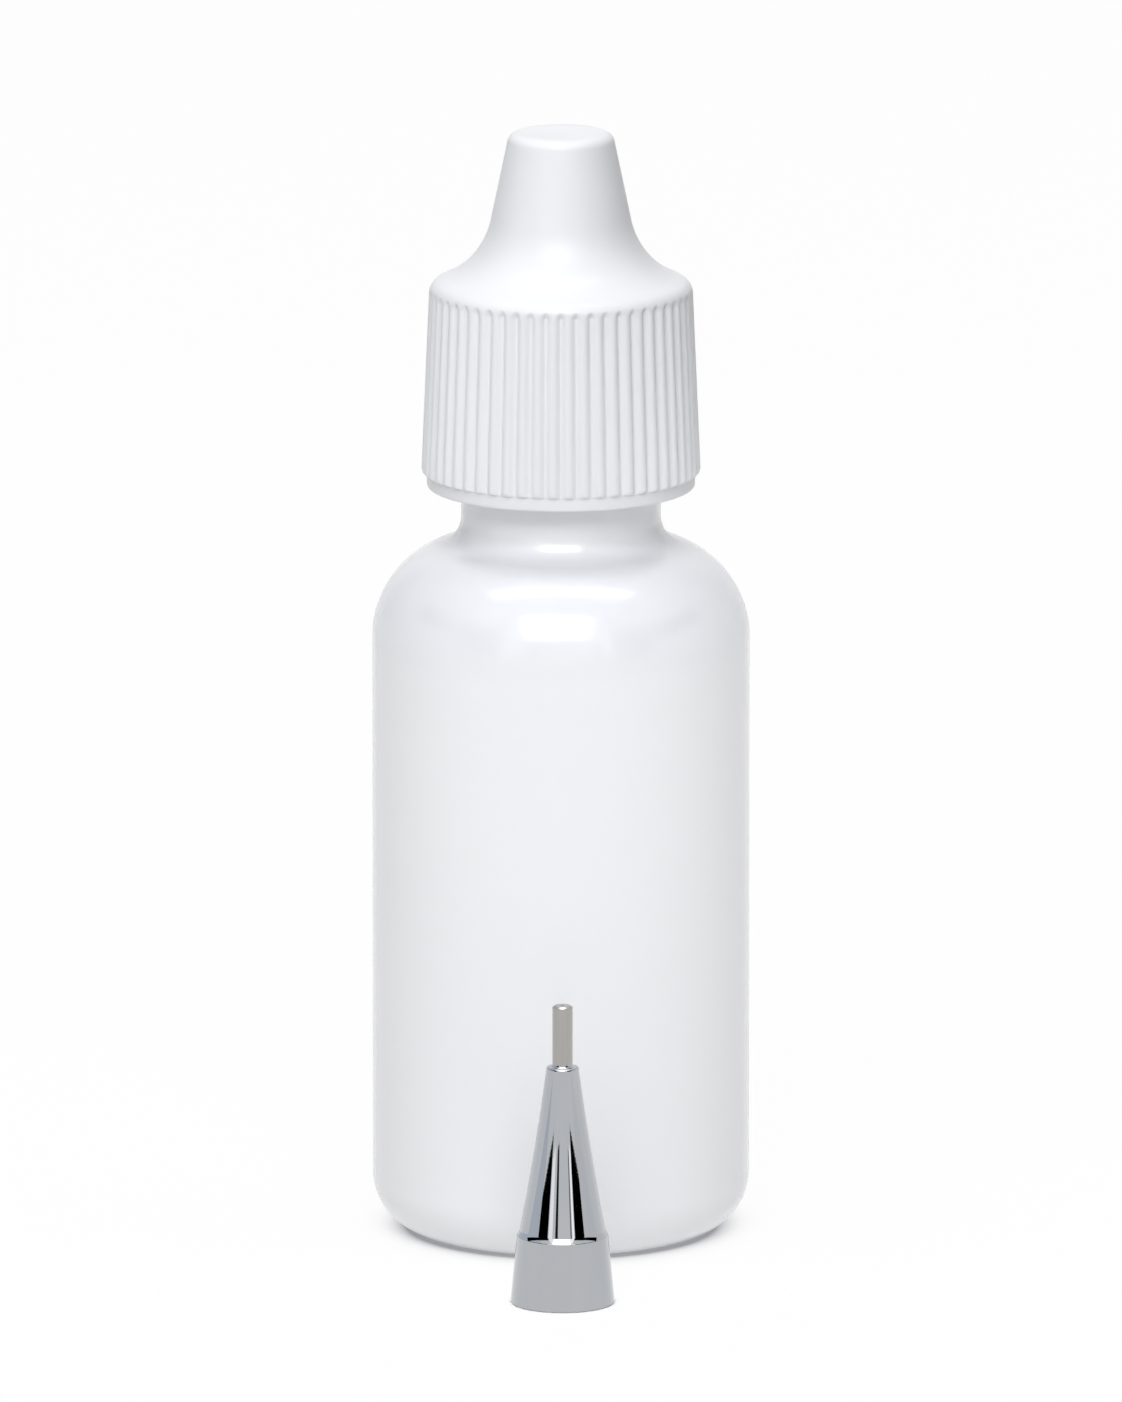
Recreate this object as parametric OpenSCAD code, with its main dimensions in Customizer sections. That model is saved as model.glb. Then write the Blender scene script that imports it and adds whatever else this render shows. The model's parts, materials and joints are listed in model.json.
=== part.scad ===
// Eye drop bottle with a ribbed snout cap, and a metal nib that stands in front of it.
// Millimetres, +Z up, the bottle's axis is Z and the floor is Z = 0.

/* [Bottle] */
// Outer diameter of the bottle's body
bottle_d = 25; // [23:0.5:29]
// Height at which the straight wall ends and the shoulder begins
wall_top_z = 40.2; // [32:0.1:52]
// Wall thickness of the bottle
bottle_wall = 1; // [0.8:0.1:1.3]
// Radius of the rounded heel
heel_r = 3.5; // [2.5:0.1:4.5]
// Radius of the rounded shoulder
shoulder_r = 6.5; // [5.5:0.1:7.5]
// Radius of the fillet where the shoulder meets the neck
neck_fillet_r = 2; // [1.6:0.1:2.4]
// Outer diameter of the neck
neck_d = 13.2; // [12.8:0.1:13.4]
// Bore of the neck, which holds the dropper insert
neck_bore_d = 8.6; // [8.2:0.1:9]
// Straight height of the neck
neck_h = 13.3; // [12.5:0.1:14.5]
// Rounding of the neck's top edge
neck_edge_r = 0.3; // [0.1:0.1:0.4]
// Width of the ring that the bottle stands on
foot_w = 1.4; // [1:0.1:2]
// Height of the hollow under the base
push_up_h = 1; // [0.6:0.1:1.4]

/* [Thread] */
// Diameter over the neck's thread
thread_d = 14.8; // [14.6:0.1:15]
// Rise of the thread in one turn
thread_pitch = 2.117; // [2:0.001:2.3]
// Turns of the neck's thread
neck_turns = 2; // [1.5:0.25:2.5]
// Turns of the cap's thread
cap_turns = 2; // [1.5:0.25:2.5]
// Width of a thread at its crest
thread_crest_w = 0.6; // [0.5:0.05:0.65]
// Distance from the neck's rim to the middle of its last turn
thread_below_rim = 1.6; // [1.4:0.1:2]
// Radial clearance between a crest and the wall it faces
thread_gap = 0.25; // [0.2:0.01:0.3]
// Clearance between the flanks of the two threads
flank_gap = 0.2; // [0.15:0.01:0.25]
// Length over which each end of a thread fades out
thread_fade = 3; // [2:0.5:4]

/* [Dropper insert] */
// Height of the flange on the neck's rim
flange_h = 1; // [0.8:0.1:1.2]
// Amount by which the flange stays inside the neck's edge
flange_inset = 0.3; // [0.1:0.1:0.6]
// Depth of the plug in the neck
plug_h = 6.5; // [5:0.5:8]
// Wall of the plug
plug_wall = 0.9; // [0.7:0.1:1.1]
// Radial squeeze of the plug in the neck's bore
plug_squeeze = 0.03; // [0.01:0.01:0.06]
// Diameter of the round boss at the foot of the nozzle
boss_d = 8; // [7.4:0.1:8.2]
// Height of the boss
boss_h = 0.8; // [0.6:0.1:1]
// Height of the cone between the boss and the straight nozzle
nozzle_cone_h = 2.8; // [2.2:0.1:3.2]
// Diameter of the straight nozzle, which the nib pushes over
nozzle_d = 4.6; // [4.2:0.1:4.8]
// Length of the straight nozzle
nozzle_h = 5.4; // [5.1:0.1:5.8]
// Rounding of the nozzle's tip
nozzle_tip_r = 0.4; // [0.2:0.1:0.6]
// Diameter of the hole that meters a drop
orifice_d = 0.5; // [0.4:0.05:0.8]
// Length of the metering hole
orifice_h = 1; // [0.8:0.1:1.4]
// Diameter of the outlet cup at the tip
outlet_d = 1.8; // [1.4:0.1:2.2]
// Depth of the outlet cup
outlet_h = 0.9; // [0.7:0.1:1.2]
// Wall of the nozzle
nozzle_wall = 1; // [0.8:0.1:1.2]

/* [Cap] */
// Clearance between the cap's lower edge and the top of the neck's fillet
cap_lift_off = 2; // [1.6:0.1:2.6]
// Diameter over the ribs at the lower end of the skirt
skirt_low_d = 18.54; // [18.3:0.02:19]
// Diameter over the ribs at the top of the skirt
skirt_top_d = 17.5; // [17.3:0.02:18]
// Diameter of the plain band at the mouth
band_d = 17.8; // [17.4:0.1:18]
// Height of the plain band
band_h = 0.9; // [0.6:0.1:1.3]
// Rounding of the band's lower edge
band_edge_r = 0.25; // [0.1:0.05:0.35]
// Height of the ribs' top above the cap's inner seat
seat_wall = 0.64; // [0.5:0.02:0.9]
// Number of ribs around the skirt
rib_count = 54; // [40:1:60]
// Depth of the grooves between the ribs
groove_depth = 0.34; // [0.2:0.02:0.4]
// Width of a groove at the ribs' crests
groove_w = 0.46; // [0.3:0.02:0.6]
// Width of a groove at its floor
groove_floor_w = 0.12; // [0.1:0.02:0.28]
// Length by which a groove runs into the shoulder's rounded edge
groove_run = 0.15; // [0.05:0.05:0.3]
// Rounding of the shoulder's outer edge
cap_edge_r = 1; // [0.8:0.1:1.2]
// Slope of the shoulder's outer part, in degrees below level
cap_shoulder_slope = 25; // [20:1:30]
// Radius of the hollow flare between shoulder and snout
flare_r = 5.5; // [5:0.1:6]
// Slope of the snout's side from upright, in degrees
snout_taper = 11.75; // [10.5:0.25:12.5]
// Diameter of the snout's top, measured to its sharp corner
snout_top_d = 6.78; // [6.4:0.02:7.2]
// Rounding of the snout's top edge
snout_edge_r = 0.4; // [0.2:0.05:0.6]
// Depth of the dish in the snout's top
dish_depth = 0.22; // [0.1:0.02:0.3]
// Wall of the snout
snout_wall = 1.2; // [1:0.05:1.3]
// Thickness of the snout's end
snout_end = 1.2; // [1:0.1:1.4]
// Clearance between the insert's flange and the cap
seat_gap = 0.06; // [0.04:0.01:0.1]

/* [Cap seal] */
// Diameter of the seal
seal_d = 4.5; // [4:0.1:4.6]
// Radial running clearance between seal and cap
seal_run = 0.04; // [0.03:0.01:0.06]
// Clearance above the seal, under the snout's end
seal_top_gap = 0.05; // [0.03:0.01:0.1]
// Clearance between the seal's face and the nozzle's tip
seal_tip_gap = 0.06; // [0.04:0.01:0.1]
// Thickness of the seal's disc
seal_h = 1.5; // [1.2:0.1:1.8]
// Diameter of the seal's nose, which stands in the outlet cup
seal_nose_d = 1.1; // [0.9:0.1:1.2]
// Length of the seal's nose
seal_nose_h = 0.5; // [0.4:0.05:0.6]

/* [Nib] */
// Distance of the nib in front of the bottle's axis
nib_y = 22.6; // [18:0.2:40]
// Offset of the nib to the side of the bottle's axis
nib_x = 0.1; // [-6:0.1:6]
// Diameter of the nib's base
nib_base_d = 6.88; // [6.6:0.02:7.4]
// Diameter of the collar at its top
collar_top_d = 6.05; // [5.95:0.05:6.4]
// Height of the collar up to its bevel
collar_h = 4.53; // [4.2:0.01:5]
// Height of the bevel between collar and cone
bevel_h = 0.37; // [0.2:0.01:0.5]
// Diameter of the cone at its foot
cone_low_d = 5.66; // [5.5:0.02:5.9]
// Diameter of the cone at its top
cone_top_d = 2.1; // [1.9:0.05:2.4]
// Height of the cone
cone_h = 11; // [9:0.1:13]
// Depth by which the cone's side is hollowed
cone_hollow = 0.086; // [0.04:0.002:0.12]
// Rounding of the cone's top edge
cone_edge_r = 0.12; // [0.05:0.01:0.2]
// Bevel of the nib's lower edge
nib_foot_bevel = 0.06; // [0.02:0.01:0.15]
// Running clearance of the socket round the nozzle
socket_gap = 0.02; // [0.01:0.01:0.05]
// Depth of the socket
socket_h = 5; // [4.5:0.1:5.1]
// Height of the hollow cone above the socket
socket_cone_h = 2.6; // [2.2:0.1:3.2]
// Outer diameter of the tube
tube_d = 1.34; // [1.2:0.02:1.5]
// Free length of the tube above the cone
tube_free_h = 4.1; // [3:0.1:6]
// Length of the tube held in the cone
tube_held_h = 6; // [5:0.1:7]
// Bore of the tube
tube_bore_d = 0.36; // [0.3:0.02:0.6]
// Bevel of the tube's end
tube_bevel = 0.17; // [0.1:0.01:0.24]
// Radial squeeze of the tube in the cone
tube_squeeze = 0.01; // [0.005:0.005:0.02]

/* [Hidden] */
$fn = 96;

// Steps in a rounded corner of an outline, and thread sections in one turn
arc_steps = 8;
turn_steps = 24;
// Depth by which a thread is rooted in its wall
thread_bury = 0.2;
// Overshoot of a cut past the face that it opens
cut = 1;

bottle_r = bottle_d / 2;
neck_r = neck_d / 2;
bore_r = neck_bore_d / 2;
// Centre of the shoulder's arc, and of the fillet that meets it from outside
shoulder_cx = bottle_r - shoulder_r;
function tangent_rise(gap_x, reach) = sqrt(reach * reach - gap_x * gap_x);
fillet_cx = neck_r + neck_fillet_r;
fillet_z = wall_top_z + tangent_rise(fillet_cx - shoulder_cx, shoulder_r + neck_fillet_r);
fillet_turn = atan2(fillet_z - wall_top_z, fillet_cx - shoulder_cx);
rim_z = fillet_z + neck_h;
// The two threads have one section, wide enough to leave the gap at each flank
gap_share = thread_gap / (thread_d / 2 - neck_r);
thread_root_w = (thread_pitch - 2 * flank_gap - thread_crest_w * (1 + gap_share)) / (1 - gap_share);
neck_thread_z = rim_z - thread_below_rim - neck_turns * thread_pitch;
cap_thread_z = neck_thread_z - thread_pitch / 2;
// The same corner inside, one wall further in
inner_r = bottle_r - bottle_wall;
inner_shoulder_r = shoulder_r - bottle_wall;
inner_fillet_cx = bore_r + neck_fillet_r;
inner_fillet_z = wall_top_z + tangent_rise(inner_fillet_cx - shoulder_cx, inner_shoulder_r + neck_fillet_r);
inner_fillet_turn = atan2(inner_fillet_z - wall_top_z, inner_fillet_cx - shoulder_cx);
foot_r = bottle_r - heel_r;
hollow_r = foot_r - foot_w;
// Radius of the shallow dome under the base
dome_r = (hollow_r * hollow_r + push_up_h * push_up_h) / (2 * push_up_h);
dome_turn = asin(hollow_r / dome_r);

flange_top_z = rim_z + flange_h;
boss_top_z = flange_top_z + boss_h;
nozzle_z = boss_top_z + nozzle_cone_h;
tip_z = nozzle_z + nozzle_h;
nozzle_r = nozzle_d / 2;

seal_r = seal_d / 2;
seal_z = tip_z + seal_tip_gap;
seal_top_z = seal_z + seal_h;

cap_z = fillet_z + cap_lift_off;
rib_z = cap_z + band_h;
cap_seat_z = flange_top_z + seat_gap;
rib_top_z = cap_seat_z + seat_wall;
cavity_top_z = seal_top_z + seal_top_gap;
snout_top_z = cavity_top_z + snout_end;
skirt_turn = atan((skirt_low_d - skirt_top_d) / 2 / (rib_top_z - rib_z));
edge_cx = skirt_top_d / 2 - cap_edge_r;
cap_bore_r = thread_d / 2 + thread_gap;
function snout_r(z) = snout_top_d / 2 + (snout_top_z - z) * tan(snout_taper);
// Centre of the round edge of the snout's top
rim_cx = snout_top_d / 2 - snout_edge_r * (1 - sin(snout_taper)) / cos(snout_taper);
// The flare's arc touches the snout's side above and the shoulder's slope below
shoulder_end_r = edge_cx + cap_edge_r * sin(cap_shoulder_slope);
shoulder_end_z = rib_top_z + cap_edge_r * cos(cap_shoulder_slope);
flare_c = flare_centre();

nib_r = nib_base_d / 2;
cone_z = collar_h + bevel_h;
cone_top_z = cone_z + cone_h;
socket_r = nozzle_r + socket_gap;
tube_r = tube_d / 2;
tube_z = cone_top_z - tube_held_h;
tube_top_z = cone_top_z + tube_free_h;

// Points of an arc in an outline, from one angle to the other; joined leaves out the point it shares
function arc(cx, cz, r, from, to, steps = arc_steps, joined = false) =
    [
        for (i = [joined ? 1 : 0 : steps])
            let (a = from + (to - from) * i / steps)
                [cx + r * cos(a), cz + r * sin(a)]
    ];

// Centre of the flare: a radius away from the snout's side and from the shoulder's slope
function flare_centre() =
    let (
        side = [snout_top_d / 2 + flare_r / cos(snout_taper), snout_top_z],
        side_dir = [tan(snout_taper), -1],
        slope_pt = [shoulder_end_r, shoulder_end_z + flare_r / cos(cap_shoulder_slope)],
        slope_dir = [-1, tan(cap_shoulder_slope)],
        gap = slope_pt - side,
        t = (gap[0] * slope_dir[1] - gap[1] * slope_dir[0])
            / (side_dir[0] * slope_dir[1] - side_dir[1] * slope_dir[0])
    )
    side + t * side_dir;

// Radius of the cone's slightly hollow side, at a share of the way up
function cone_side_r(t) = (cone_low_d + (cone_top_d - cone_low_d) * t) / 2 - 4 * cone_hollow * t * (1 - t);

module turned(points) {
    rotate_extrude() polygon(points);
}

// Thread on a helix from its root to its crest, inside or outside, that fades at both ends
module thread(root_r, crest_r, z, turns) {
    steps = turn_steps * turns;
    bury = root_r < crest_r ? -thread_bury : thread_bury;
    fade_steps = thread_fade / (PI * thread_d) * turn_steps;
    function rise(i) = min(1, (i + 0.2) / fade_steps, (steps - i + 0.2) / fade_steps);
    function section(i) =
        let (
            a = 360 * i / turn_steps,
            mid = z + thread_pitch * i / turn_steps,
            r = root_r + (crest_r - root_r) * rise(i),
            wide = thread_root_w / 2,
            thin = wide + (thread_crest_w / 2 - wide) * rise(i)
        )
        [
            for (p = [[root_r + bury, -wide], [r, -thin], [r, thin], [root_r + bury, wide]])
                [p[0] * cos(a), p[0] * sin(a), mid + p[1]]
        ];
    points = [for (i = [0 : steps]) each section(i)];
    sides = [
        for (i = [0 : steps - 1], k = [0 : 3])
            let (a = 4 * i + k, b = 4 * i + (k + 1) % 4)
                each [[a, b, b + 4], [a, b + 4, a + 4]]
    ];
    last = 4 * steps;
    ends = [[0, 2, 1], [0, 3, 2], [last, last + 1, last + 2], [last, last + 2, last + 3]];
    facing = root_r < crest_r ? 1 : -1;
    polyhedron(points, [for (f = concat(sides, ends)) facing > 0 ? f : [f[0], f[2], f[1]]]);
}

module bottle() {
    outer = concat(
        arc(foot_r, heel_r, heel_r, -90, 0),
        arc(shoulder_cx, wall_top_z, shoulder_r, 0, fillet_turn, 2 * arc_steps),
        arc(fillet_cx, fillet_z, neck_fillet_r, 180 + fillet_turn, 180, joined = true),
        arc(neck_r - neck_edge_r, rim_z - neck_edge_r, neck_edge_r, 0, 90, 3)
    );
    inner = concat(
        [[bore_r, rim_z]],
        arc(inner_fillet_cx, inner_fillet_z, neck_fillet_r, 180, 180 + inner_fillet_turn),
        arc(shoulder_cx, wall_top_z, inner_shoulder_r, inner_fillet_turn, 0, 2 * arc_steps, joined = true),
        arc(foot_r, heel_r, heel_r - bottle_wall, 0, -90),
        arc(0, push_up_h - dome_r, dome_r + bottle_wall, 90 - dome_turn, 90)
    );
    dome = arc(0, push_up_h - dome_r, dome_r, 90, 90 - dome_turn);
    color("white") union() {
        turned(concat(outer, inner, dome));
        thread(neck_r, thread_d / 2, neck_thread_z, neck_turns);
    }
}

module dropper_insert() {
    plug_r = bore_r + plug_squeeze;
    inside_r = bore_r - plug_wall;
    nozzle_in_r = nozzle_r - nozzle_wall;
    orifice_z = tip_z - outlet_h - orifice_h;
    color("whitesmoke") turned(concat(
        [
            [inside_r, rim_z - plug_h],
            [plug_r - plug_wall / 2, rim_z - plug_h],
            [plug_r, rim_z - plug_h + plug_wall],
            [plug_r, rim_z],
            [neck_r - flange_inset, rim_z],
            [neck_r - flange_inset, flange_top_z],
            [boss_d / 2, flange_top_z],
            [boss_d / 2, boss_top_z],
            [nozzle_r, nozzle_z]
        ],
        arc(nozzle_r - nozzle_tip_r, tip_z - nozzle_tip_r, nozzle_tip_r, 0, 90, 4),
        [
            [outlet_d / 2, tip_z],
            [orifice_d / 2, tip_z - outlet_h],
            [orifice_d / 2, orifice_z],
            [nozzle_in_r, orifice_z - nozzle_in_r],
            [nozzle_in_r, nozzle_z - nozzle_wall],
            [inside_r, boss_top_z - nozzle_wall]
        ]
    ));
}

module cap() {
    flare_from = 180 + snout_taper;
    flare_to = 270 - cap_shoulder_slope;
    outer = concat(
        [[cap_bore_r, cap_z]],
        arc(band_d / 2 - band_edge_r, cap_z + band_edge_r, band_edge_r, -90, 0, 4),
        [[band_d / 2, rib_z], [skirt_low_d / 2, rib_z]],
        arc(edge_cx, rib_top_z, cap_edge_r, skirt_turn, 90 - cap_shoulder_slope),
        arc(flare_c[0], flare_c[1], flare_r, flare_to, flare_from, 2 * arc_steps),
        arc(rim_cx, snout_top_z - snout_edge_r, snout_edge_r, snout_taper, 90)
    );
    dish_r = (rim_cx * rim_cx + dish_depth * dish_depth) / (2 * dish_depth);
    dish = arc(0, snout_top_z - dish_depth + dish_r, dish_r, asin(rim_cx / dish_r) - 90, -90, joined = true);
    pocket_r = seal_r + seal_run;
    cavity = [
        [0, cavity_top_z],
        [pocket_r, cavity_top_z],
        [pocket_r, seal_z],
        [snout_r(seal_z) - snout_wall, seal_z],
        [snout_r(cap_seat_z) - snout_wall, cap_seat_z],
        [cap_bore_r, cap_seat_z]
    ];
    color("white") union() {
        difference() {
            turned(concat(outer, dish, cavity));
            for (i = [0 : rib_count - 1]) rotate([0, 0, -90 + i * 360 / rib_count]) groove();
        }
        thread(cap_bore_r, neck_r + thread_gap, cap_thread_z, cap_turns);
    }
}

// Cut between two ribs, leaning with the skirt; below the ribs it runs free outside the band
module groove() {
    translate([skirt_low_d / 2 - groove_depth, 0, rib_z])
        rotate([0, -skirt_turn, 0])
            translate([0, 0, -cut])
                linear_extrude(cut + rib_top_z - rib_z + groove_run)
                    polygon([
                        [0, -groove_floor_w / 2],
                        [groove_depth, -groove_w / 2],
                        [groove_depth + cut, -groove_w / 2],
                        [groove_depth + cut, groove_w / 2],
                        [groove_depth, groove_w / 2],
                        [0, groove_floor_w / 2]
                    ]);
}

module cap_seal() {
    color("gainsboro") turned([
        [0, seal_z - seal_nose_h],
        [seal_nose_d / 4, seal_z - seal_nose_h],
        [seal_nose_d / 2, seal_z],
        [seal_r, seal_z],
        [seal_r, seal_top_z],
        [0, seal_top_z]
    ]);
}

module nib_body() {
    held_r = tube_r - tube_squeeze;
    side = [for (i = [0 : arc_steps - 1]) let (t = i / arc_steps) [cone_side_r(t), cone_z + cone_h * t]];
    color("silver") translate([nib_x, -nib_y, 0]) turned(concat(
        [
            [socket_r, 0],
            [nib_r - nib_foot_bevel, 0],
            [nib_r, nib_foot_bevel],
            [collar_top_d / 2, collar_h]
        ],
        side,
        arc(cone_top_d / 2 - cone_edge_r, cone_top_z - cone_edge_r, cone_edge_r, 0, 90, 4),
        [
            [held_r, cone_top_z],
            [held_r, tube_z],
            [tube_bore_d / 2, tube_z],
            [tube_bore_d / 2, socket_h + socket_cone_h],
            [socket_r, socket_h]
        ]
    ));
}

module nib_tube() {
    color("darkgray") translate([nib_x, -nib_y, 0]) turned([
        [tube_bore_d / 2, tube_z],
        [tube_r, tube_z],
        [tube_r, tube_top_z - tube_bevel],
        [tube_r - tube_bevel, tube_top_z],
        [tube_bore_d / 2, tube_top_z]
    ]);
}

bottle();
dropper_insert();
cap();
cap_seal();
nib_body();
nib_tube();
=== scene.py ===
import json
import math
import bpy
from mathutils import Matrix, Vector


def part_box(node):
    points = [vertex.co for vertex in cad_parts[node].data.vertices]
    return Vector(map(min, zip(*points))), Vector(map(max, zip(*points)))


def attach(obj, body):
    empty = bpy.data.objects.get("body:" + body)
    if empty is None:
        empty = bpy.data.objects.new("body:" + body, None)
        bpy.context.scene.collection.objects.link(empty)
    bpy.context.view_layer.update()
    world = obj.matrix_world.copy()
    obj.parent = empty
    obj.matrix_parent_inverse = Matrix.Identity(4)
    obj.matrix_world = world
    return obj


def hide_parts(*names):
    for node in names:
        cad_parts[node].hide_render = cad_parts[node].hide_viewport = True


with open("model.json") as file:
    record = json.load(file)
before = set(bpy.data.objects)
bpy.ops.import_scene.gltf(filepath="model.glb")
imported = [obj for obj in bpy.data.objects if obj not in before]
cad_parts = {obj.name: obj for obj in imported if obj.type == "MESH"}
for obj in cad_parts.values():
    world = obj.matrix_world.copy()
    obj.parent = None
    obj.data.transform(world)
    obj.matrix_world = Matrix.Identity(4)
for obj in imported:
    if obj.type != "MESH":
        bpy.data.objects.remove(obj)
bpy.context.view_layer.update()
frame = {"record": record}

mm = 0.001
white = (1, 1, 1)


# A socket that takes part in sums
class Wire:
    def __init__(self, finish, socket):
        self.finish = finish
        self.socket = socket

    def maths(self, operation, *terms):
        return self.finish.node("Math", {"operation": operation}, terms)

    def between(self, low, high):  # for a value from 0 to 1
        return self * (high - low) + low

    def __add__(self, other):
        return self.maths("ADD", self, other)

    def __radd__(self, other):
        return self.maths("ADD", other, self)

    def __sub__(self, other):
        return self.maths("SUBTRACT", self, other)

    def __rsub__(self, other):
        return self.maths("SUBTRACT", other, self)

    def __mul__(self, other):
        return self.maths("MULTIPLY", self, other)

    def __rmul__(self, other):
        return self.maths("MULTIPLY", other, self)

    def __truediv__(self, other):
        return self.maths("DIVIDE", self, other)

    def __rtruediv__(self, other):
        return self.maths("DIVIDE", other, self)

    def __pow__(self, other):
        return self.maths("POWER", self, other)

    def __rpow__(self, other):
        return self.maths("POWER", other, self)


# A node tree filled from Python, for a material or for the world
class Finish:
    def __init__(self, owner):
        owner.use_nodes = True
        self.owner = owner
        self.tree = owner.node_tree
        self.tree.nodes.clear()

    def node(self, kind, settings=None, inputs=(), out=0):
        made = self.tree.nodes.new("ShaderNode" + kind)
        for key, value in (settings or {}).items():
            setattr(made, key, value)
        pairs = inputs.items() if isinstance(inputs, dict) else enumerate(inputs)
        for key, value in pairs:
            if isinstance(value, Wire):
                self.tree.links.new(value.socket, made.inputs[key])
            else:
                made.inputs[key].default_value = value
        return Wire(self, made.outputs[out] if made.outputs else None)

    def place(self, stretch=(1, 1, 1), offset=(0, 0, 0)):
        spot = self.node("TexCoord", out="Object")
        moved = self.node("VectorMath", {"operation": "SUBTRACT"}, [spot, offset])
        return self.node("VectorMath", {"operation": "MULTIPLY"}, [moved, stretch])

    def noise(self, size, detail=2, stretch=(1, 1, 1)):  # size of its blobs in millimetres
        inputs = {"Vector": self.place(stretch), "Scale": 1 / (size * mm), "Detail": detail}
        return self.node("TexNoise", None, inputs)

    def colours(self, factor, low, high):
        return self.node("Mix", {"data_type": "RGBA"}, {0: factor, 6: (*low, 1), 7: (*high, 1)}, out=2)

    def mixed(self, factor, first, second):
        return self.node("MixShader", None, {0: factor, 1: first, 2: second})

    def bump(self, height, depth):  # depth in millimetres for a height from 0 to 1
        return self.node("Bump", None, {"Height": height, "Distance": depth * mm, "Strength": 1})

    def end(self, shader, kind="OutputMaterial"):
        self.node(kind, None, {"Surface": shader})
        return self.owner


def newFinish(name):
    return Finish(bpy.data.materials.new(name))


# Outlines are lists of (radius, height) in millimetres. A rounded corner takes at most a share of each side,
# and guard rings just past its cut keep the sides flat.
rounding = {"share": 0.45, "guard": 1.08}


def arc(cx, cz, r, start, end, steps=12):  # degrees, 0 outwards and 90 up
    angles = [math.radians(start + (end - start) * i / steps) for i in range(steps + 1)]
    return [(cx + r * math.cos(a), cz + r * math.sin(a)) for a in angles]


def softened(points, cuts, steps=4):  # each inner corner is rounded, up to its cut along both sides
    if not isinstance(cuts, list):
        cuts = [cuts] * len(points)
    soft = [points[0]]
    for before, at, after, cut in zip(points, points[1:], points[2:], cuts):
        before, at, after = Vector(before), Vector(at), Vector(after)
        size = min(cut, rounding["share"] * (before - at).length, rounding["share"] * (after - at).length)
        toStart = (before - at).normalized() * size
        toEnd = (after - at).normalized() * size
        soft.append(tuple(at + toStart * rounding["guard"]))
        for i in range(steps + 1):
            t = i / steps
            soft.append(tuple(at + toStart * (1 - t) ** 2 + toEnd * t * t))
        soft.append(tuple(at + toEnd * rounding["guard"]))
    return soft + [points[-1]]


def stretch(start, end, steps, lead=0):  # points on a straight line, without its start
    shares = [i / steps for i in range(1, steps + 1)]
    if lead:  # rings close to both ends, at this share of the line, keep it straight to the eye
        shares = [lead] + shares[:-1] + [1 - lead, 1]
    return [tuple(a + (b - a) * share for a, b in zip(start, end)) for share in shares]


def rows(points, every=1, shaped=None):  # rings of a turned mesh, with every n-th column
    return [(r, z, every, shaped) for r, z in points]


def joinRings(low, high):
    if len(low) == 1:
        return [(low[0], high[j], high[j - 1]) for j in range(len(high))]
    if len(high) == 1:
        return [(low[j - 1], low[j], high[0]) for j in range(len(low))]
    count = min(len(low), len(high))
    faces = []
    for j in range(count):
        corners = []
        for ring, turn in ((low, 1), (high, -1)):
            share = len(ring) // count
            part = [ring[(j * share + k) % len(ring)] for k in range(share + 1)]
            corners += part[::turn]
        faces.append(corners)
    return faces


def turned(name, outline, columns, material, middle=(0, 0), sharp=50):  # crisp edges above sharp degrees
    verts = []
    rings = []
    for r, z, every, shaped in outline:
        ring = []
        for a in columns[::every] if r > 0 else [0]:
            rr, zz = shaped(a, r, z) if shaped else (r, z)
            ring.append(len(verts))
            verts.append((middle[0] + rr * mm * math.cos(a), middle[1] + rr * mm * math.sin(a), zz * mm))
        rings.append(ring)
    if outline[0][0] > 0:
        rings.append(rings[0])
    faces = [face for low, high in zip(rings, rings[1:]) for face in joinRings(low, high)]
    mesh = bpy.data.meshes.new(name)
    mesh.from_pydata(verts, [], faces)
    mesh.validate()
    mesh.shade_smooth()
    mesh.set_sharp_from_angle(angle=math.radians(sharp))
    mesh.materials.append(material)
    piece = bpy.data.objects.new(name, mesh)
    bpy.context.scene.collection.objects.link(piece)
    return piece


def evenColumns(count):
    return [2 * math.pi * i / count for i in range(count)]


def dressed(piece, node):
    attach(piece, bodyOf[node])
    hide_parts(node)


bodyOf = {node: body for body, nodes in frame["record"]["behaviour"]["bodies"].items() for node in nodes}


# Screw thread: crest and root are half its widths there, fade is the part of a turn in which it rises, and
# margin is the bare wall above and below it
thread = {"pitch": 2.117, "turns": 2, "height": 0.8, "crest": 0.3, "root": 0.676, "fade": 0.07, "margin": 0.1,
          "rows": 76}


def smoothed(share):
    return share * share * (3 - 2 * share)


def clipped(share):
    return max(0, min(1, share))


def threadLift(angle, z, startZ):
    lift = 0
    for turn in range(-1, thread["turns"] + 1):
        along = turn + (angle % (2 * math.pi)) / (2 * math.pi)
        end = min(along, thread["turns"] - along) / thread["fade"]
        side = thread["root"] - abs(z - startZ - along * thread["pitch"])
        side /= thread["root"] - thread["crest"]
        lift = max(lift, smoothed(clipped(side) * clipped(end)))
    return lift * thread["height"]


def threadSpan(startZ):  # the heights between which the wall carries the thread
    low = startZ - thread["root"] - thread["margin"]
    return low, low + thread["turns"] * thread["pitch"] + 2 * thread["root"] + 2 * thread["margin"]


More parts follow.
